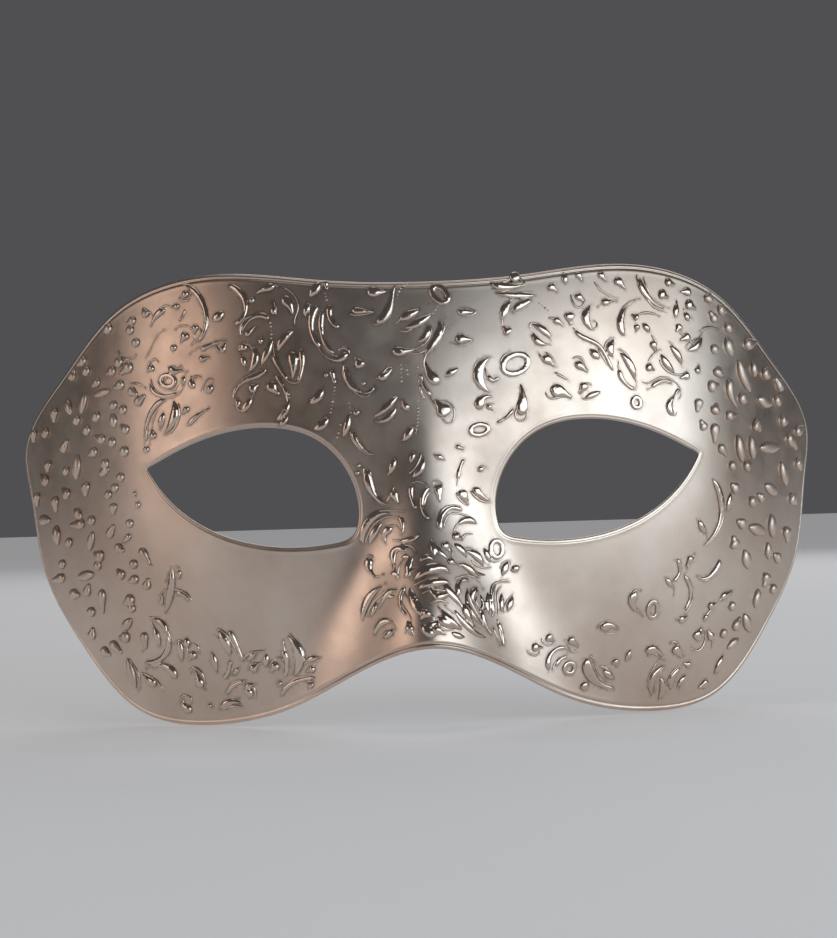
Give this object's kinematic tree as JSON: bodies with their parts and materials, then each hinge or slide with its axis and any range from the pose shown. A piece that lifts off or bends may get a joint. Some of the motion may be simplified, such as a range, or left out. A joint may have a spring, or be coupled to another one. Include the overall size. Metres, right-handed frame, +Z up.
{
  "type": "masquerade mask",
  "caption": "Half-face masquerade mask: shaped shell with almond eye openings, raised scrolling relief, felt lining, foam pads and tie eyes at the temples",
  "frame": {"origin": "where the bridge of the wearer's nose meets the lining, on the eye line and the mask's centre line", "axes": "+X to the right as seen from the front, -Y out of the front of the mask, +Z up"},
  "size_m": [0.18, 0.0691, 0.0956],
  "materials": {
    "shell_paint": "pressed paper pulp under satin champagne-silver metallic paint",
    "relief_paint": "raised paste under glossier champagne-silver metallic paint",
    "lining_felt": "thin black felt",
    "pad_foam": "soft cloth-faced foam",
    "lug_plastic": "moulded, satin"
  },
  "bodies": {
    "root": {"mask_shell": "shell_paint", "lining": "lining_felt", "brow_pad": "pad_foam", "nose_pad_left": "pad_foam", "nose_pad_right": "pad_foam", "cheek_pad_left": "pad_foam", "cheek_pad_right": "pad_foam", "tie_lug_left": "lug_plastic", "tie_lug_right": "lug_plastic", "brow_relief_left": "relief_paint", "brow_relief_centre": "relief_paint", "brow_relief_right": "relief_paint", "bridge_relief": "relief_paint", "nose_relief_left": "relief_paint", "nose_relief_tip": "relief_paint", "nose_relief_right": "relief_paint", "eye_corner_relief_left": "relief_paint", "cheek_relief_right": "relief_paint", "lobe_relief_left": "relief_paint", "lobe_relief_right": "relief_paint", "temple_relief_left": "relief_paint", "temple_relief_right": "relief_paint"}
  },
  "joints": []
}
